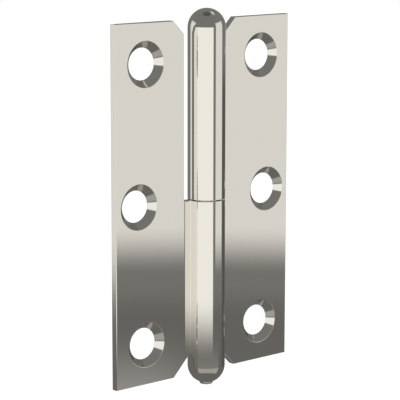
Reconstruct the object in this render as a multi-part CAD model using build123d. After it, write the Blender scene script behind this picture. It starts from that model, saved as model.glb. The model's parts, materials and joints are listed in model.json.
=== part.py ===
from build123d import *
import math
import os

# Lift-off butt hinge, open and flat, in millimetres.
# Z runs up along the pin. The countersunk faces look towards -Y, the backs towards +Y.
# The origin is on the pin's axis, half way up the leaves.
# The leaf on the +X side goes on the door and carries the upper knuckle.
# The leaf on the -X side goes on the frame and carries the lower knuckle and the pin.

# Leaves
leaf_length = 60.0
open_width = 38.15
inner_edge_to_axis = 4.5
sheet_thickness = 1.2
corner_cut = 2.3
edge_round = 0.1

# Knuckles, rolled from the leaves' own sheet
barrel_diameter = 6.35
barrel_set_back = 1.35
knuckle_gap = 0.15
axis_stand_off = 0.45
bend_radius = 0.1
roll_end_angle = 36.0

# Screw holes, three to a leaf, the middle one nearer the free edge
screw_hole_diameter = 5.3
countersink_diameter = 7.6
countersink_angle = 90.0
end_hole_from_end = 6.75
end_hole_from_edge = 6.35
middle_hole_from_edge = 4.85

# Pin, pressed into the lower knuckle and free in the upper one
running_clearance = 0.05
seat_set_back = 1.0
tip_lead = 0.7
button_diameter = 2.3
button_drop = 0.2
button_round = 0.3

# Cap, whose plug closes the upper knuckle and bears on the pin's tip
plug_length = 5.0
plug_lead = 0.3

# Places that follow from the sizes
barrel_radius = barrel_diameter / 2
bore_radius = barrel_radius - sheet_thickness
running_radius = bore_radius - running_clearance
front_y = axis_stand_off
back_y = front_y + sheet_thickness
free_edge_x = open_width / 2
leaf_end_z = leaf_length / 2
barrel_end_z = leaf_end_z - barrel_set_back
knuckle_face_z = knuckle_gap / 2
pin_tip_z = barrel_end_z - plug_length

# The bend is tangent to the leaf's front face and to the outside of the barrel. It is nearly sharp.
bend_y = front_y - bend_radius
bend_x = math.sqrt((barrel_radius + bend_radius) ** 2 - bend_y**2)
tangent_angle = math.degrees(math.atan2(bend_y, bend_x))


def upright_face(outline, y):
    """A closed outline drawn in X and Z, as a face that looks towards -Y."""
    return Plane(origin=(0, y, 0), x_dir=(1, 0, 0), z_dir=(0, -1, 0)) * make_face(outline)


def rolled_section():
    """The bend and the knuckle as one curled strip, seen from above."""
    bend_centre = (bend_x, bend_y)
    bend_sweep = 90 + tangent_angle
    roll_sweep = -(360 + tangent_angle - roll_end_angle)
    outside_bend = CenterArc(bend_centre, bend_radius, 90, bend_sweep)
    inside_bend = CenterArc(bend_centre, bend_radius + sheet_thickness, 90, bend_sweep)
    outside_roll = CenterArc((0, 0), barrel_radius, tangent_angle, roll_sweep)
    inside_roll = CenterArc((0, 0), bore_radius, tangent_angle, roll_sweep)
    start = Line(outside_bend @ 0, inside_bend @ 0)
    end = Line(outside_roll @ 1, inside_roll @ 1)
    return make_face([start, outside_bend, outside_roll, end, inside_roll, inside_bend])


def cut_height(x):
    """How high the 45 degree corner cut leaves the sheet at this distance from the axis."""
    return leaf_end_z - corner_cut - (inner_edge_to_axis - x)


def flat_plate():
    """The flat of the leaf with its clipped inner corners, and the tab that leads to the bend."""
    clip_x = inner_edge_to_axis + corner_cut
    clip_z = leaf_end_z - corner_cut
    outline = Polyline(
        (free_edge_x, -leaf_end_z),
        (free_edge_x, leaf_end_z),
        (clip_x, leaf_end_z),
        (bend_x, cut_height(bend_x)),
        (bend_x, knuckle_face_z),
        (inner_edge_to_axis, knuckle_face_z),
        (inner_edge_to_axis, -clip_z),
        (clip_x, -leaf_end_z),
        close=True,
    )
    return extrude(upright_face(outline, front_y), -sheet_thickness)


def corner_wedge():
    """What the corner cut takes off the bend: it runs on at 45 degrees up to the barrel."""
    outline = Polyline(
        (bend_x, cut_height(bend_x)),
        (0, cut_height(0)),
        (0, leaf_end_z),
        (bend_x, leaf_end_z),
        close=True,
    )
    slab = extrude(upright_face(outline, 0), barrel_diameter, both=True)
    return slab - Cylinder(barrel_radius, 2 * leaf_length)


def countersunk_hole():
    """One screw hole as a solid to cut, its cone opening at y = 0 towards -Y."""
    countersink_radius = countersink_diameter / 2
    hole_radius = screw_hole_diameter / 2
    half_angle = math.radians(countersink_angle / 2)
    cone_depth = (countersink_radius - hole_radius) / math.tan(half_angle)
    section = Polyline(
        (0, 0),
        (countersink_radius, 0),
        (hole_radius, cone_depth),
        (hole_radius, sheet_thickness),
        (0, sheet_thickness),
        close=True,
    )
    return revolve(make_face(section), Axis.Y)


def screw_places():
    """Centres of the three screw holes on the front face, the middle one further out."""
    end_x = free_edge_x - end_hole_from_edge
    middle_x = free_edge_x - middle_hole_from_edge
    end_z = leaf_end_z - end_hole_from_end
    return [(end_x, end_z), (middle_x, 0), (end_x, -end_z)]


def lies_in(edge, y):
    """True where the whole edge lies in the plane at this y."""
    return all(abs((edge @ part).Y - y) < 0.001 for part in (0, 0.5, 1))


def outline_edges(leaf):
    """The leaf's outline on its front face, without the seam with the bend."""
    edges = []
    for edge in leaf.edges().filter_by(GeomType.LINE):
        middle = edge @ 0.5
        on_seam = abs(middle.X - bend_x) < 0.001 and middle.Z > knuckle_face_z
        if lies_in(edge, front_y) and not on_seam:
            edges.append(edge)
    return edges


def leaf_with_upper_knuckle():
    """One pressing. As made here it is the door leaf; turned end for end, the frame leaf."""
    knuckle = extrude(Pos(0, 0, knuckle_face_z) * rolled_section(), barrel_end_z - knuckle_face_z)
    leaf = flat_plate() + (knuckle - corner_wedge())
    leaf = fillet(outline_edges(leaf), edge_round)
    for x, z in screw_places():
        leaf -= Pos(x, front_y, z) * countersunk_hole()
    return leaf


def turned_pin():
    """Pin with a domed head under the lower knuckle and a small button on the dome."""
    button_radius = button_diameter / 2
    button_end_z = -(barrel_end_z + barrel_radius + button_drop)
    button_top_z = -(barrel_end_z + math.sqrt(barrel_radius**2 - button_radius**2))
    dome_angle = math.degrees(math.acos(button_radius / barrel_radius))
    seat_end_z = -(knuckle_face_z + seat_set_back)
    button_side = Polyline(
        (0, pin_tip_z),
        (0, button_end_z),
        (button_radius - button_round, button_end_z),
    )
    button_corner = CenterArc(
        (button_radius - button_round, button_end_z + button_round), button_round, 270, 90
    )
    button_wall = Line((button_radius, button_end_z + button_round), (button_radius, button_top_z))
    dome = CenterArc((0, -barrel_end_z), barrel_radius, -dome_angle, dome_angle)
    shank = Polyline(
        (barrel_radius, -barrel_end_z),
        (bore_radius, -barrel_end_z),
        (bore_radius, seat_end_z),
        (running_radius, seat_end_z),
        (running_radius, pin_tip_z - tip_lead),
        (running_radius - tip_lead, pin_tip_z),
        (0, pin_tip_z),
    )
    outline = [button_side, button_corner, button_wall, dome, shank]
    return revolve(Plane.XZ * make_face(outline), Axis.Z)


def domed_cap():
    """Half-round cap on the upper knuckle, with the plug that holds it in the bore."""
    plug = Polyline(
        (0, barrel_end_z + barrel_radius),
        (0, pin_tip_z),
        (running_radius - plug_lead, pin_tip_z),
        (running_radius, pin_tip_z + plug_lead),
        (running_radius, barrel_end_z),
        (barrel_radius, barrel_end_z),
    )
    dome = CenterArc((0, barrel_end_z), barrel_radius, 0, 90)
    return revolve(Plane.XZ * make_face([plug, dome]), Axis.Z)


door_leaf = leaf_with_upper_knuckle()
pieces = {
    "frame_leaf": door_leaf.rotate(Axis.Y, 180),
    "door_leaf": door_leaf,
    "hinge_pin": turned_pin(),
    "top_cap": domed_cap(),
}

os.makedirs("parts", exist_ok=True)
for name, piece in pieces.items():
    piece.label = name
    export_step(piece, f"parts/{name}.step")
    print(name, round(piece.volume, 2), "cubic millimetres")
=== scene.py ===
# %% [markdown]
# # A lift-off butt hinge in polished nickel
#
# The hinge is 60 mm long: two leaves cut and rolled from one gauge of steel sheet, a turned pin and
# a domed cap, all polished and then plated with nickel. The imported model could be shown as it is,
# but a mirror finish shows every facet of a mesh. So the lesson keeps that model as its frame and
# draws finer meshes in its place, from the same sizes.

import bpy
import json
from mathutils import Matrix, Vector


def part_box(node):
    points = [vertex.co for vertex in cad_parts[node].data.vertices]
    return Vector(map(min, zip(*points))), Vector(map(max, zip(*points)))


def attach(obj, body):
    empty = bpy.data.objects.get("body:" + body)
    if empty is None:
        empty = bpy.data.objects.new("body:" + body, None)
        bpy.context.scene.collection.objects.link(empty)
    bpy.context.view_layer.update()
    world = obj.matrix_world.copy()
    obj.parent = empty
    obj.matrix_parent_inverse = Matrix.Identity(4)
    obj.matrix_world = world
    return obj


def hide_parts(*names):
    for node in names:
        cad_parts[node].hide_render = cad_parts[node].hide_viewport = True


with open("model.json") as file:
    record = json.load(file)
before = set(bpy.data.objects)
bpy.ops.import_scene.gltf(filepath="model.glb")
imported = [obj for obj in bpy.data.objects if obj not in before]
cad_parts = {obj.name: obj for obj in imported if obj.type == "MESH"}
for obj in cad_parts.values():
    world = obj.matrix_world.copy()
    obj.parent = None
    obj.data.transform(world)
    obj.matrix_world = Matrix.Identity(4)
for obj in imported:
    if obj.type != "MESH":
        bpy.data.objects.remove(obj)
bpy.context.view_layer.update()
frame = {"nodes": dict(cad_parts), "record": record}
print("packed pieces:", sorted(frame["nodes"]))

# %% [markdown]
# The tools of the lesson are Blender's own: `bmesh` for building meshes face by face, and
# `mathutils` for vectors and for filling an outline that has holes in it.

# %% Import the tools
import json
import math

import bmesh
import bpy
from mathutils import Matrix, Vector
from mathutils.geometry import delaunay_2d_cdt

MM = 0.001
print("one millimetre is", MM, "Blender units")

# %% [markdown]
# Most sizes are read from the frame, so that the looks follow the model. Its boxes give the outer
# sizes, and its mounts give the backs of the leaves and the screw holes. The few sizes that a box
# can't show, such as the sheet's thickness, are named here in millimetres.

# %% Read the hinge's sizes
mounts = {mount["name"]: mount for mount in frame["record"]["mounts"]}
leaf_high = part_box("door_leaf")[1] / MM
pin_low, pin_high = (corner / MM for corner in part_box("hinge_pin"))
cap_low, cap_high = (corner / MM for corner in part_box("top_cap"))

sheet_thickness = 1.2
inner_edge_x = 4.5
corner_cut = 2.3
edge_round = 0.14
knuckle_gap = 0.15
bend_radius = 0.1
roll_end_angle = 36.0
countersink_radius = 3.8
touching = 0.001  # points this near to each other count as touching

free_edge_x = leaf_high.x - touching
leaf_end_z = leaf_high.z
back_y = mounts["door_back"]["pos_m"][1] / MM
front_y = back_y - sheet_thickness
barrel_radius = cap_high.x
bore_radius = barrel_radius - sheet_thickness
barrel_end_z = cap_high.z - barrel_radius
knuckle_face_z = knuckle_gap / 2
hole_radius = mounts["door_middle_screw"]["dims"]["r_mm"]
print("barrel", round(2 * barrel_radius, 2), "mm, bore", round(2 * bore_radius, 2), "mm")

# %% [markdown]
# A tab leads from the flat to the knuckle. The sheet leaves it in a nearly sharp bend, tangent to the
# leaf's front face and to the outside of the barrel. Two circles that touch have their centres as
# far apart as their radii added up, and that fixes the bend's centre.

# %% Place the bend
bend_y = front_y - bend_radius
bend_x = math.sqrt((barrel_radius + bend_radius) ** 2 - bend_y**2)
tangent_angle = math.degrees(math.atan2(bend_y, bend_x))
bend_centre = (bend_x, bend_y)
clip_z = leaf_end_z - corner_cut
print("the tab ends", round(bend_x, 2), "mm from the pin's axis")

# %% [markdown]
# A helper gives points along an arc. Angles are in degrees, counted from +X towards +Y, seen from
# above. Every round stretch of the section comes from it.

# %% Points along an arc
def arc(centre, radius, start, sweep, steps):
    points = []
    for step in range(steps + 1):
        angle = math.radians(start + sweep * step / steps)
        points.append((centre[0] + radius * math.cos(angle), centre[1] + radius * math.sin(angle)))
    return points


print("a quarter circle in two steps:", len(arc((0, 0), 1, 0, 90, 2)), "points")

# %% [markdown]
# The strip's section has two skins, an outer and an inner one, with as many points on each, so that
# a face joins each pair. Where the sheet's back runs into the barrel's own circle, above the corner
# cut, the barrel goes on round that circle: `barrel_side` is that short arc.

# %% Draw the section of bend and knuckle
bend_sweep = 90 + tangent_angle
roll_sweep = -(360 + tangent_angle - roll_end_angle)
bend_steps = 12
roll_steps = 160

bend_front = arc(bend_centre, bend_radius, 90, bend_sweep, bend_steps)
roll_outside = arc((0, 0), barrel_radius, tangent_angle, roll_sweep, roll_steps)
roll_inside = arc((0, 0), bore_radius, tangent_angle, roll_sweep, roll_steps)

# the back of the bend crosses the barrel's circle where the three lengths close a triangle
back_radius = bend_radius + sheet_thickness
centre_distance = barrel_radius + bend_radius
crossing_cosine = (centre_distance**2 + back_radius**2 - barrel_radius**2) / (
    2 * centre_distance * back_radius
)
crossing_turn = math.degrees(math.acos(crossing_cosine))
inner_steps = 12
back_outer = arc(bend_centre, back_radius, 90, bend_sweep - crossing_turn, bend_steps)
back_inner = arc(bend_centre, back_radius, 90 + bend_sweep - crossing_turn, crossing_turn, inner_steps)
crossing = back_outer[-1]
crossing_angle = math.degrees(math.atan2(crossing[1], crossing[0]))
barrel_side = arc((0, 0), barrel_radius, tangent_angle, crossing_angle - tangent_angle, inner_steps)
print("the sheet's back meets the barrel's circle at", round(crossing_angle, 1), "degrees")

# %% [markdown]
# Vertices are shared by place: asking twice for the same point gives the same vertex. That keeps
# the mesh closed where two walls meet, with no merging afterwards.

# %% A mesh that shares its vertices
BUFFED, SHEARED, DRILLED = 0, 1, 2
kept_decimals = 5


class SheetMesh:
    def __init__(self):
        self.mesh = bmesh.new()
        self.found = {}
        self.finish = BUFFED
        self.plane = self.mesh.faces.layers.int.new("plane")

    def vertex(self, x, y, z):
        key = tuple(round(value, kept_decimals) for value in (x, y, z))
        if key not in self.found:
            self.found[key] = self.mesh.verts.new((x, y, z))
        return self.found[key]

    def face(self, *points, plane=False):
        corners = []
        for point in points:
            corner = self.vertex(*point)
            if corner not in corners:
                corners.append(corner)
        if len(corners) > 2:
            face = self.mesh.faces.new(corners)
            face.material_index = self.finish
            face[self.plane] = int(plane)


print("points are told apart by", 10**-kept_decimals, "mm")

# %% [markdown]
# The flat of the leaf is an outline with three round holes. The constrained triangulation of
# `mathutils` fills it and keeps both the outline and the circles as edges. A triangle whose middle
# lies in a hole is left out. The front uses the countersink's radius and the back the hole's own.

# %% Fill the flat with its holes
hole_steps = 96
end_screws = mounts["door_end_screws"]
middle_screw = mounts["door_middle_screw"]
end_x = end_screws["pos_m"][0] / MM
middle_x = middle_screw["pos_m"][0] / MM
end_z = end_screws["dims"]["spacing_y_mm"] / 2
screw_places = [(end_x, end_z), (middle_x, 0.0), (end_x, -end_z)]
flat_outline = [
    (bend_x, knuckle_face_z),
    (inner_edge_x, knuckle_face_z),
    (inner_edge_x, -clip_z),
    (inner_edge_x + corner_cut, -leaf_end_z),
    (free_edge_x, -leaf_end_z),
    (free_edge_x, leaf_end_z),
    (inner_edge_x + corner_cut, leaf_end_z),
    (bend_x, clip_z - (inner_edge_x - bend_x)),
]


def in_hole(corners, centre, radius):
    return all(math.dist(corner, centre) < radius + touching for corner in corners)


def fill_flat(sheet, y, radius):
    points = list(flat_outline)
    edges = [(i, (i + 1) % len(points)) for i in range(len(points))]
    for centre in screw_places:
        first = len(points)
        points += arc(centre, radius, 0, 360, hole_steps)[:-1]
        edges += [(first + i, first + (i + 1) % hole_steps) for i in range(hole_steps)]
    filled = delaunay_2d_cdt([Vector(point) for point in points], edges, [], 1, 1e-6)
    triangles, sources = filled[2], filled[3]
    for triangle in triangles:
        corners = [points[sources[i][0]] for i in triangle]
        if not any(in_hole(corners, centre, radius) for centre in screw_places):
            sheet.face(*[(x, y, z) for x, z in corners], plane=True)


print("screw holes at", screw_places)

# %% [markdown]
# Each screw hole is a cone that runs nearly through the sheet, then a short straight wall. The cone
# was pressed or cut at 90 degrees, so its depth is the difference of the two radii.

# %% Wall the screw holes
cone_depth = countersink_radius - hole_radius


def wall_holes(sheet):
    sheet.finish = DRILLED
    rows = [
        (countersink_radius, front_y),
        (hole_radius, front_y + cone_depth),
        (hole_radius, back_y),
    ]
    for centre in screw_places:
        rings = []
        for radius, y in rows:
            rings.append([(x, y, z) for x, z in arc(centre, radius, 0, 360, hole_steps)])
        for upper, lower in zip(rings, rings[1:]):
            for i in range(hole_steps):
                sheet.face(upper[i], upper[i + 1], lower[i + 1], lower[i])


print("cone depth", round(cone_depth, 2), "of", sheet_thickness, "mm")

# %% [markdown]
# The tab between flat and barrel is drawn as upright walls on the section, from the knuckle's face
# up to the 45 degree corner cut. The barrel itself goes on to its full height.

# %% Raise the bend and the knuckle
def cut_height(point):
    """How high the sheet stands at a point of the bend, on the 45 degree corner cut."""
    return clip_z - (inner_edge_x - point[0])


def raise_wall(sheet, section, bottom, top, step=None):
    """Upright faces along a line of the section; bottom, top and step give a height for a point."""
    for a, b in zip(section, section[1:]):
        corners = [(*a, bottom(a)), (*b, bottom(b)), (*b, top(b)), (*a, top(a))]
        if step and a == section[0]:
            corners.append((*a, step(a)))
        sheet.face(*corners)


def raise_tab(sheet):
    sheet.finish = BUFFED

    def foot(point):
        return knuckle_face_z

    def head(point):
        return barrel_end_z

    raise_wall(sheet, bend_front, foot, cut_height)
    raise_wall(sheet, back_outer, foot, cut_height)
    raise_wall(sheet, roll_outside, foot, head, step=cut_height)
    raise_wall(sheet, roll_inside, foot, head)
    raise_wall(sheet, back_inner, foot, head, step=cut_height)
    raise_wall(sheet, barrel_side, cut_height, head)
    sheet.finish = SHEARED
    raise_wall(sheet, [roll_outside[-1], roll_inside[-1]], foot, head)


print("walls stand on", bend_steps + roll_steps, "steps of the section")

# %% [markdown]
# Last come the faces across the sheet's thickness: the knuckle's two ring-shaped ends, the slanted
# face of the corner cut, and the narrow side walls of the flat.

# %% Close the ends and the sides
def close_ends(sheet):
    sheet.finish = SHEARED
    foot_z = knuckle_face_z
    rings = [(roll_outside, roll_inside, foot_z), (roll_outside, roll_inside, barrel_end_z)]
    rings.append((barrel_side, back_inner[::-1], barrel_end_z))
    for outer, inner, z in rings:
        for i in range(len(outer) - 1):
            corners = (outer[i], outer[i + 1], inner[i + 1], inner[i])
            sheet.face(*[(*corner, z) for corner in corners], plane=True)
    back = back_outer + back_inner[1:]
    under_bend = bend_front + back[::-1]
    sheet.face(*[(*point, foot_z) for point in under_bend], plane=True)
    slant = bend_front + barrel_side[1:] + back_outer[::-1][1:]
    sheet.face(*[(*point, cut_height(point)) for point in slant], plane=True)


def wall_sides(sheet):
    sheet.finish = SHEARED
    for a, b in zip(flat_outline, flat_outline[1:]):
        front_edge = [(a[0], front_y, a[1]), (b[0], front_y, b[1])]
        back_edge = [(b[0], back_y, b[1]), (a[0], back_y, a[1])]
        sheet.face(*front_edge, *back_edge, plane=True)


print("the outline has", len(flat_outline), "corners")

# %% [markdown]
# Shearing leaves the punched side of a sheet rounded and the far side nearly sharp, and polishing
# takes both a little further. So the front outline gets a round of 0.14 mm, a thin line that catches
# the light all round the leaf, and the back outline a much smaller one. The rims of the countersinks
# and the knuckle's edge at the joint are only broken.

# %% Round the leaf's edges
edge_steps = 3
fine_steps = 2
back_round = 0.04
joint_round = 0.08
rim_round = 0.05
sharp_turn = 0.5  # radians; edges that turn less are part of a smooth surface
near_a_hole = 4.0


def lies_in(edge, y):
    return all(abs(vertex.co.y - y) < touching for vertex in edge.verts)


def by_a_hole(edge):
    middle = (edge.verts[0].co + edge.verts[1].co) / 2
    return any(math.dist((middle.x, middle.z), centre) < near_a_hole for centre in screw_places)


def is_sharp(edge):
    return edge.calc_face_angle(0) > sharp_turn


def front_outline(edge):
    return lies_in(edge, front_y) and is_sharp(edge) and not by_a_hole(edge)


def back_outline(edge):
    return lies_in(edge, back_y) and is_sharp(edge) and not by_a_hole(edge)


def hole_rim(edge):
    return lies_in(edge, front_y) and is_sharp(edge) and by_a_hole(edge)


def joint_edge(edge):
    """True for the outer edge of the knuckle's face at the joint."""
    low = all(abs(vertex.co.z - knuckle_face_z) < touching for vertex in edge.verts)
    outer = all(abs(vertex.co.xy.length - barrel_radius) < touching for vertex in edge.verts)
    return low and outer


def round_edges(sheet, chosen, width, steps):
    edges = [edge for edge in sheet.mesh.edges if chosen(edge)]
    bmesh.ops.bevel(
        sheet.mesh,
        geom=edges,
        offset=width,
        segments=steps,
        profile=0.5,
        affect="EDGES",
        clamp_overlap=False,
    )
    print("rounded", len(edges), "edges by", width, "mm")


# %% [markdown]
# A mirror shows the smallest error in the direction of its surface. So each corner of each face gets
# its direction here: a plane keeps its own, a round takes the plane's where it runs into one, and
# elsewhere neighbours that turn only a little from it are averaged.

# %% Give every corner its direction
smooth_turn = 35
dead_straight = 0.9999
same_surface = math.cos(math.radians(smooth_turn))
plane_directions = [Vector((0, 1, 0)), Vector((1, 0, 0)), Vector((0, 0, 1))]
plane_directions += [Vector((1, 0, 1)).normalized(), Vector((1, 0, -1)).normalized()]


def is_plane(sheet, face):
    along = max(abs(face.normal.dot(direction)) for direction in plane_directions)
    return face[sheet.plane] == 1 and along > dead_straight


def corner_directions(sheet):
    planes = {face for face in sheet.mesh.faces if is_plane(sheet, face)}
    directions = []
    for face in sheet.mesh.faces:
        for corner in face.loops:
            near = [face]
            if face not in planes:
                around = corner.vert.link_faces
                near = [other for other in around if other.normal.dot(face.normal) > same_surface]
                near = [other for other in near if other in planes] or near
            total = sum((other.normal * other.calc_area() for other in near), Vector())
            directions.append(total.normalized())
    return directions


print("surfaces are smooth where they turn by less than", smooth_turn, "degrees")

# %% [markdown]
# A finished mesh becomes an object: its faces are turned outwards, its corners get their
# directions, and millimetres become metres. The second leaf is turned end for end on the way, half a
# turn about the Y axis, as one would turn the real leaf in the hand.

# %% Turn a mesh into an object
def to_object(sheet, name, turned=False):
    mesh = sheet.mesh
    bmesh.ops.recalc_face_normals(mesh, faces=mesh.faces)
    mesh.normal_update()
    directions = corner_directions(sheet)
    matrix = Matrix.Scale(MM, 4)
    if turned:
        matrix = Matrix.Rotation(math.pi, 4, "Y") @ matrix
        directions = [Vector((-way.x, way.y, -way.z)) for way in directions]
    mesh.transform(matrix)
    data = bpy.data.meshes.new(name)
    mesh.to_mesh(data)
    mesh.free()
    data.shade_smooth()
    data.normals_split_custom_set(directions)
    piece = bpy.data.objects.new(name, data)
    bpy.context.scene.collection.objects.link(piece)
    print(name, len(data.polygons), "faces")
    return piece


# %% [markdown]
# Each leaf is one pressing: the press cuts the outline and the holes, sinks the countersinks and
# rolls the tab into the knuckle. Both leaves come out of the same tool, so one function builds both.
# A solid cut by other solids would give the same shape, but walls drawn on one section keep the long
# clean strips of faces that a mirror needs.

# %% Build the two leaves
def build_leaf(name, turned):
    sheet = SheetMesh()
    fill_flat(sheet, front_y, countersink_radius)
    fill_flat(sheet, back_y, hole_radius)
    wall_holes(sheet)
    raise_tab(sheet)
    close_ends(sheet)
    wall_sides(sheet)
    bmesh.ops.recalc_face_normals(sheet.mesh, faces=sheet.mesh.faces)
    boundary = sum(1 for edge in sheet.mesh.edges if len(edge.link_faces) != 2)
    print(name, "edges without two faces:", boundary)
    round_edges(sheet, front_outline, edge_round, edge_steps)
    round_edges(sheet, back_outline, back_round, fine_steps)
    round_edges(sheet, joint_edge, joint_round, fine_steps)
    round_edges(sheet, hole_rim, rim_round, fine_steps)
    return to_object(sheet, name, turned)


door_leaf = build_leaf("door_leaf_polished", False)
frame_leaf = build_leaf("frame_leaf_polished", True)

# %% [markdown]
# The pin and the cap are turned on a lathe, so each is a profile spun about the Z axis. A Screw
# modifier could spin it too; plain loops let both pieces share the leaves' way of making a mesh.

# %% Spin a profile
turn_steps = 160
dome_steps = 48
running_clearance = 0.05
running_radius = bore_radius - running_clearance


def spin(profile, name):
    sheet = SheetMesh()
    for a, b in zip(profile, profile[1:]):
        for step in range(turn_steps):
            corners = []
            for radius, z, index in ((*a, step), (*a, step + 1), (*b, step + 1), (*b, step)):
                angle = 2 * math.pi * (index % turn_steps) / turn_steps
                corners.append((radius * math.cos(angle), radius * math.sin(angle), z))
            sheet.face(*corners)
    return to_object(sheet, name)


print("a turned piece has", turn_steps, "steps round its axis")

# %% [markdown]
# The pin is pressed into the lower knuckle, and a domed head closes that knuckle from below. Under
# the dome is a small flat button, perhaps where the blank was held. The rest of the pin is hidden,
# and is drawn as such a pin has to be: above the press fit the shank is turned down a little, so that
# the upper knuckle runs freely on it, and its tip is bevelled to find the bore when the door is hung.

# %% Turn the hinge pin
seat_set_back = 1.0
tip_lead = 0.7
button_radius = 1.15
button_round = 0.3
button_steps = 8

seat_end_z = -knuckle_face_z - seat_set_back
button_angle = math.degrees(math.acos(button_radius / barrel_radius))
corner_centre = (button_radius - button_round, pin_low.z + button_round)
pin_profile = [(0, pin_low.z)]
pin_profile += arc(corner_centre, button_round, 270, 90, button_steps)
pin_profile += arc((0, -barrel_end_z), barrel_radius, -button_angle, button_angle, dome_steps)
pin_profile += [
    (bore_radius, -barrel_end_z),
    (bore_radius, seat_end_z),
    (running_radius, seat_end_z),
    (running_radius, pin_high.z - tip_lead),
    (running_radius - tip_lead, pin_high.z),
    (0, pin_high.z),
]
hinge_pin = spin(pin_profile, "hinge_pin_polished")

# %% [markdown]
# The cap closes the upper knuckle: a dome as wide as the barrel, with a plug that sits in the bore
# out of sight. Its dome is half a ball, so the barrel's side runs into it without a step.

# %% Turn the cap
plug_lead = 0.3

cap_profile = [(0, cap_low.z), (running_radius - plug_lead, cap_low.z)]
cap_profile += [(running_radius, cap_low.z + plug_lead), (running_radius, barrel_end_z)]
cap_profile += arc((0, barrel_end_z), barrel_radius, 0, 90, dome_steps)[:-1]
cap_profile += [(0, cap_high.z)]
top_cap = spin(cap_profile, "top_cap_polished")

# %% [markdown]
# Colours are written as sRGB hex values, the way a paint program shows them. Shaders work in linear
# light, so one function turns them.

# %% Colours
def linear(hex_colour):
    channels = []
    for start in (1, 3, 5):
        value = int(hex_colour[start : start + 2], 16) / 255
        channels.append(value / 12.92 if value <= 0.04045 else ((value + 0.055) / 1.055) ** 2.4)
    return (*channels, 1.0)


print("mid grey in linear light:", round(linear("#808080")[0], 3))

# %% [markdown]
# A material is a small graph of nodes. One function adds any of them: its settings go on the node or
# on its sockets, and its links say which outputs feed which of its inputs.

# %% One function adds a node
def add_node(tree, kind, settings=None, links=None):
    node = tree.nodes.new(kind)
    for name, value in (settings or {}).items():
        if isinstance(name, int) or name in node.inputs:
            node.inputs[name].default_value = value
        else:
            setattr(node, name, value)
    for name, source in (links or {}).items():
        tree.links.new(source, node.inputs[name])
    return node


print("nodes are added by", add_node.__name__)

# %% [markdown]
# Polished nickel is a warm, slightly yellow mirror, with no colour but the tint it gives to what it
# reflects. The sheet was rolled and then buffed along its length before plating, so up close the
# shine carries very fine lines and a hint of unevenness from the rolling. Real buffing lines are a
# hundredth of a millimetre wide; these are 0.06 mm, the finest that a render can show.

# %% Make the nickel finishes
NICKEL = "#ebe8e2"
line_width = 0.06
haze_width = 4.0
shiniest, dullest = 0.7, 1.4  # how far the haze takes the roughness down and up


def nickel(name, line_stretch, roughness, line_depth):
    """Nickel plate; line_stretch says how many times longer than wide a buffing line is, per axis."""
    material = bpy.data.materials.new(name)
    material.use_nodes = True
    tree = material.node_tree
    tree.nodes.clear()
    place = add_node(tree, "ShaderNodeTexCoord").outputs["Object"]
    haze = add_node(
        tree,
        "ShaderNodeTexNoise",
        {"Scale": 1 / (haze_width * MM), "Detail": 3.0, "Roughness": 0.6},
        {"Vector": place},
    )
    stretched = add_node(
        tree,
        "ShaderNodeVectorMath",
        {"operation": "DIVIDE", 1: tuple(line_width * MM * stretch for stretch in line_stretch)},
        {0: place},
    )
    lines = add_node(
        tree,
        "ShaderNodeTexNoise",
        {"Scale": 1.0, "Detail": 2.0, "Roughness": 0.5},
        {"Vector": stretched.outputs["Vector"]},
    )
    dulled = add_node(
        tree,
        "ShaderNodeMapRange",
        {
            "From Min": 0.3,
            "From Max": 0.7,
            "To Min": roughness * shiniest,
            "To Max": roughness * dullest,
        },
        {"Value": haze.outputs["Fac"]},
    )
    scratched = add_node(
        tree,
        "ShaderNodeBump",
        {"Strength": 1.0, "Distance": line_depth * MM},
        {"Height": lines.outputs["Fac"]},
    )
    shader = add_node(
        tree,
        "ShaderNodeBsdfPrincipled",
        {"Base Color": linear(NICKEL), "Metallic": 1.0},
        {"Roughness": dulled.outputs["Result"], "Normal": scratched.outputs["Normal"]},
    )
    add_node(tree, "ShaderNodeOutputMaterial", links={"Surface": shader.outputs["BSDF"]})
    return material


finishes = {
    "buffed": nickel("buffed_nickel_on_rolled_sheet", (3, 3, 60), 0.03, 0.00003),
    "sheared": nickel("plated_sheared_edge", (8, 1, 8), 0.10, 0.0006),
    "drilled": nickel("plated_countersink", (3, 3, 3), 0.05, 0.0001),
    "turned": nickel("buffed_nickel_on_turned_steel", (40, 40, 1), 0.03, 0.00003),
}
for piece in (door_leaf, frame_leaf):
    for finish in ("buffed", "sheared", "drilled"):
        piece.data.materials.append(finishes[finish])
for piece in (hinge_pin, top_cap):
    piece.data.materials.append(finishes["turned"])
print("finishes:", [material.name for material in finishes.values()])

# %% [markdown]
# Each piece rides on the body that carries it and stands for the CAD solid that it replaces, which
# stays as the hidden frame.

# %% Put the pieces on their bodies
riders = {
    "door_leaf": (door_leaf, "door_side", "plated_sheet"),
    "frame_leaf": (frame_leaf, "frame_side", "plated_sheet"),
    "hinge_pin": (hinge_pin, "frame_side", "plated_turned"),
    "top_cap": (top_cap, "lifting_cap", "plated_turned"),
}
for node_name, (piece, body, slot_name) in riders.items():
    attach(piece, body)
    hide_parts(node_name)
    print(node_name, "rides on", body)

# %% [markdown]
# The camera looks at the countersunk faces. It stands to the left of the hinge, a little above its
# middle, and about 30 cm away with a long lens. Its place is in millimetres and its turns are in
# degrees, as they came out of fitting a camera to the hinge's edges.

# %% Place the camera
camera_place = (-198.66, -224.23, 52.48)
camera_turn = (80.006, -0.071, -41.322)
camera_lens = 163.25

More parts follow.
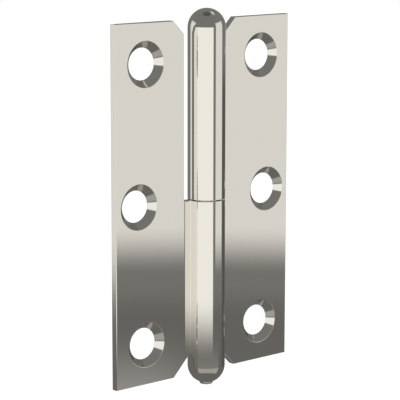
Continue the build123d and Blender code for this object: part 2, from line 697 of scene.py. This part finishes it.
camera_data = bpy.data.cameras.new("camera")
camera = bpy.data.objects.new("camera", camera_data)
bpy.context.scene.collection.objects.link(camera)
camera.location = Vector(camera_place) * MM
camera.rotation_euler = [math.radians(turn) for turn in camera_turn]
camera_data.sensor_width = 36
camera_data.lens = camera_lens
camera_data.clip_start = 0.01
camera_data.clip_end = 100
bpy.context.scene.camera = camera
bpy.context.scene.view_settings.view_transform = "Standard"
print("camera", round(camera.location.length, 3), "m from the hinge")

# %% [markdown]
# The world is plain white at a strength of 1, the level at which a colour renders as it is written.
# It is the white background, and it is also the light that the pale floor lies in.

# %% Light the world
world = bpy.data.worlds.new("white_studio")
bpy.context.scene.world = world
world.use_nodes = True
world.node_tree.nodes["Background"].inputs["Color"].default_value = linear("#ffffff")
world.node_tree.nodes["Background"].inputs["Strength"].default_value = 1.0
print("white world at a strength of 1")

# %% [markdown]
# The hinge stands upright in the picture, with nothing under it, so the floor lies well below and
# keeps only its soft shadow. It is matt white paper. A little more white is given to the rays that
# come straight from the camera or by way of metal or glass, so that floor and background meet
# without a line, and the hinge gets no light from it.

# %% Lay the floor
floor_drop = 0.25
floor_half = 3.0
paper_lift = 0.25


def flat_square(name, half, z):
    mesh = bmesh.new()
    corners = [mesh.verts.new((x * half, y * half, z)) for x, y in ((-1, -1), (1, -1), (1, 1), (-1, 1))]
    mesh.faces.new(corners)
    data = bpy.data.meshes.new(name)
    mesh.to_mesh(data)
    mesh.free()
    square = bpy.data.objects.new(name, data)
    bpy.context.scene.collection.objects.link(square)
    return square


floor = flat_square("pale_floor", floor_half, -floor_drop)
paper = bpy.data.materials.new("white_paper")
paper.use_nodes = True
paper_tree = paper.node_tree
paper_tree.nodes.clear()
rays = add_node(paper_tree, "ShaderNodeLightPath")
seen = rays.outputs["Is Camera Ray"]
for way in ("Is Glossy Ray", "Is Transmission Ray"):
    either = {0: seen, 1: rays.outputs[way]}
    seen = add_node(paper_tree, "ShaderNodeMath", {"operation": "MAXIMUM"}, either).outputs["Value"]
lift = add_node(paper_tree, "ShaderNodeMath", {"operation": "MULTIPLY", 1: paper_lift}, {0: seen})
matt = add_node(paper_tree, "ShaderNodeBsdfDiffuse", {"Color": linear("#eeeeec")})
glow = add_node(
    paper_tree,
    "ShaderNodeEmission",
    {"Color": linear("#ffffff")},
    {"Strength": lift.outputs["Value"]},
)
lit = {0: matt.outputs["BSDF"], 1: glow.outputs["Emission"]}
both = add_node(paper_tree, "ShaderNodeAddShader", links=lit)
add_node(paper_tree, "ShaderNodeOutputMaterial", links={"Surface": both.outputs["Shader"]})
floor.data.materials.append(paper)
print("floor", floor_drop, "m below the middle of the hinge")

# %% [markdown]
# A mirror has no look of its own: it shows the room. So a polished hinge is photographed inside a
# tent of grey cloth, with a few plain white panels hung in it and a dark card beside them. Each
# panel could be a plane of its own, but here one sphere carries them all, because its
# material can give every panel a soft border. The tent is 40 cm across, and hangs clear of the floor.
#
# The list gives each panel by its direction from the hinge: azimuth in degrees from straight ahead
# (-Y) towards the door leaf (+X), and elevation above the horizon. Later rows hang in front of
# earlier ones. What hung around the real hinge is unknown. This studio is plain and set up
# in whole degrees, so its reflections only roughly follow those of the photograph.

# %% List the panels and the card
tent_radius = 0.2
tent_cloth = 0.2
STUDIO_WHITE = "#fffefa"
studio = [
    # name, azimuth from, to, elevation from, to, soft border, level
    ("dim roof", -180, 180, 75, 120, 8, 0.1),
    ("table top", -180, 180, -120, -18, 3, 0.15),
    ("bright part of the table", -95, 40, -50, -24, 8, 0.4),
    ("left window", -155, -115, -15, 30, 6, 0.8),
    ("right window", 15, 65, -14, 30, 4, 0.8),
    ("dark card", 70, 130, -25, 0, 4, 0.1),
    ("roof strip", 65, 110, 60, 70, 5, 0.7),
    ("front softbox", -100, 0, -20, 10, 5, 1.0),
]
print(len(studio), "panels and cards")

# %% [markdown]
# Two helpers come first: a band with soft borders, and the step that hangs a panel in front of the
# others.

# %% Lay one panel over another
def band(tree, value, low, high, soft):
    """1 from low to high and 0 outside, with borders this soft."""
    borders = {}
    for input_number, (edge, before) in enumerate(((low, 0.0), (high, 1.0))):
        settings = {
            "interpolation_type": "SMOOTHSTEP",
            "From Min": edge - soft / 2,
            "From Max": edge + soft / 2,
            "To Min": before,
            "To Max": 1.0 - before,
        }
        border = add_node(tree, "ShaderNodeMapRange", settings, {"Value": value})
        borders[input_number] = border.outputs["Result"]
    return add_node(tree, "ShaderNodeMath", {"operation": "MULTIPLY"}, borders).outputs["Value"]


def hang(tree, behind, cover, brightness):
    """The level seen where a panel of this brightness hangs in front of what is behind it."""
    hung = add_node(tree, "ShaderNodeMix", {"data_type": "FLOAT"}, {"Factor": cover})
    hung.inputs["B"].default_value = brightness
    if isinstance(behind, float):
        hung.inputs["A"].default_value = behind
    else:
        tree.links.new(behind, hung.inputs["A"])
    return hung.outputs["Result"]


print("the brightest panel has a level of", max(row[-1] for row in studio))

# %% [markdown]
# A panel covers a band of azimuths and a band of elevations. The offset from its middle is wrapped
# to half a turn either way, so that a panel may hang across the back, where the azimuth jumps from
# 180 to -180. A row that goes all the way round has no sides.

# %% Cover one panel's directions
def panel_cover(tree, azimuth, elevation, row):
    """1 where this panel hangs, 0 elsewhere."""
    name, left, right, low, high, soft, brightness = row
    cover = band(tree, elevation, low, high, soft)
    if right - left == 360:
        return cover
    from_middle = {"operation": "SUBTRACT", 1: (left + right) / 2}
    offset = add_node(tree, "ShaderNodeMath", from_middle, {0: azimuth}).outputs["Value"]
    around = {"operation": "WRAP", 1: -180.0, 2: 180.0}
    offset = add_node(tree, "ShaderNodeMath", around, {0: offset}).outputs["Value"]
    half = (right - left) / 2
    sides = band(tree, offset, -half, half, soft)
    both = add_node(tree, "ShaderNodeMath", {"operation": "MULTIPLY"}, {0: cover, 1: sides})
    return both.outputs["Value"]


print("the widest panel spans", max(row[2] - row[1] for row in studio), "degrees")

# %% [markdown]
# Now the tent itself. Only mirror rays see it: it is hidden from the camera and from the floor's
# light and shadow, so the picture keeps its white background.

# %% Sew the tent
def sew_tent():
    material = bpy.data.materials.new("studio_tent")
    material.use_nodes = True
    tree = material.node_tree
    tree.nodes.clear()
    place = add_node(tree, "ShaderNodeTexCoord").outputs["Object"]
    direction = add_node(tree, "ShaderNodeVectorMath", {"operation": "NORMALIZE"}, {0: place})
    parts = add_node(tree, "ShaderNodeSeparateXYZ", links={"Vector": direction.outputs["Vector"]})
    reverse = {"operation": "MULTIPLY", 1: -1.0}
    ahead = add_node(tree, "ShaderNodeMath", reverse, {0: parts.outputs["Y"]})
    sides = {0: parts.outputs["X"], 1: ahead.outputs["Value"]}
    turn = add_node(tree, "ShaderNodeMath", {"operation": "ARCTAN2"}, sides)
    azimuth = add_node(tree, "ShaderNodeMath", {"operation": "DEGREES"}, {0: turn.outputs["Value"]})
    rise = add_node(tree, "ShaderNodeMath", {"operation": "ARCSINE"}, {0: parts.outputs["Z"]})
    elevation = add_node(tree, "ShaderNodeMath", {"operation": "DEGREES"}, {0: rise.outputs["Value"]})
    level = tent_cloth
    for row in studio:
        cover = panel_cover(tree, azimuth.outputs["Value"], elevation.outputs["Value"], row)
        level = hang(tree, level, cover, row[-1])
    white = {"Color": linear(STUDIO_WHITE)}
    light = add_node(tree, "ShaderNodeEmission", white, {"Strength": level})
    add_node(tree, "ShaderNodeOutputMaterial", links={"Surface": light.outputs["Emission"]})
    # the tent is seen in mirrors only, so no light has to be sent out from it
    material.cycles.emission_sampling = "NONE"
    mesh = bmesh.new()
    bmesh.ops.create_uvsphere(mesh, u_segments=48, v_segments=24, radius=tent_radius)
    data = bpy.data.meshes.new("studio_tent")
    mesh.to_mesh(data)
    mesh.free()
    data.materials.append(material)
    tent = bpy.data.objects.new("studio_tent", data)
    bpy.context.scene.collection.objects.link(tent)
    tent.visible_camera = False
    tent.visible_diffuse = False
    tent.visible_shadow = False
    tent.visible_transmission = False
    print("the tent has", len(tree.nodes), "nodes")


sew_tent()
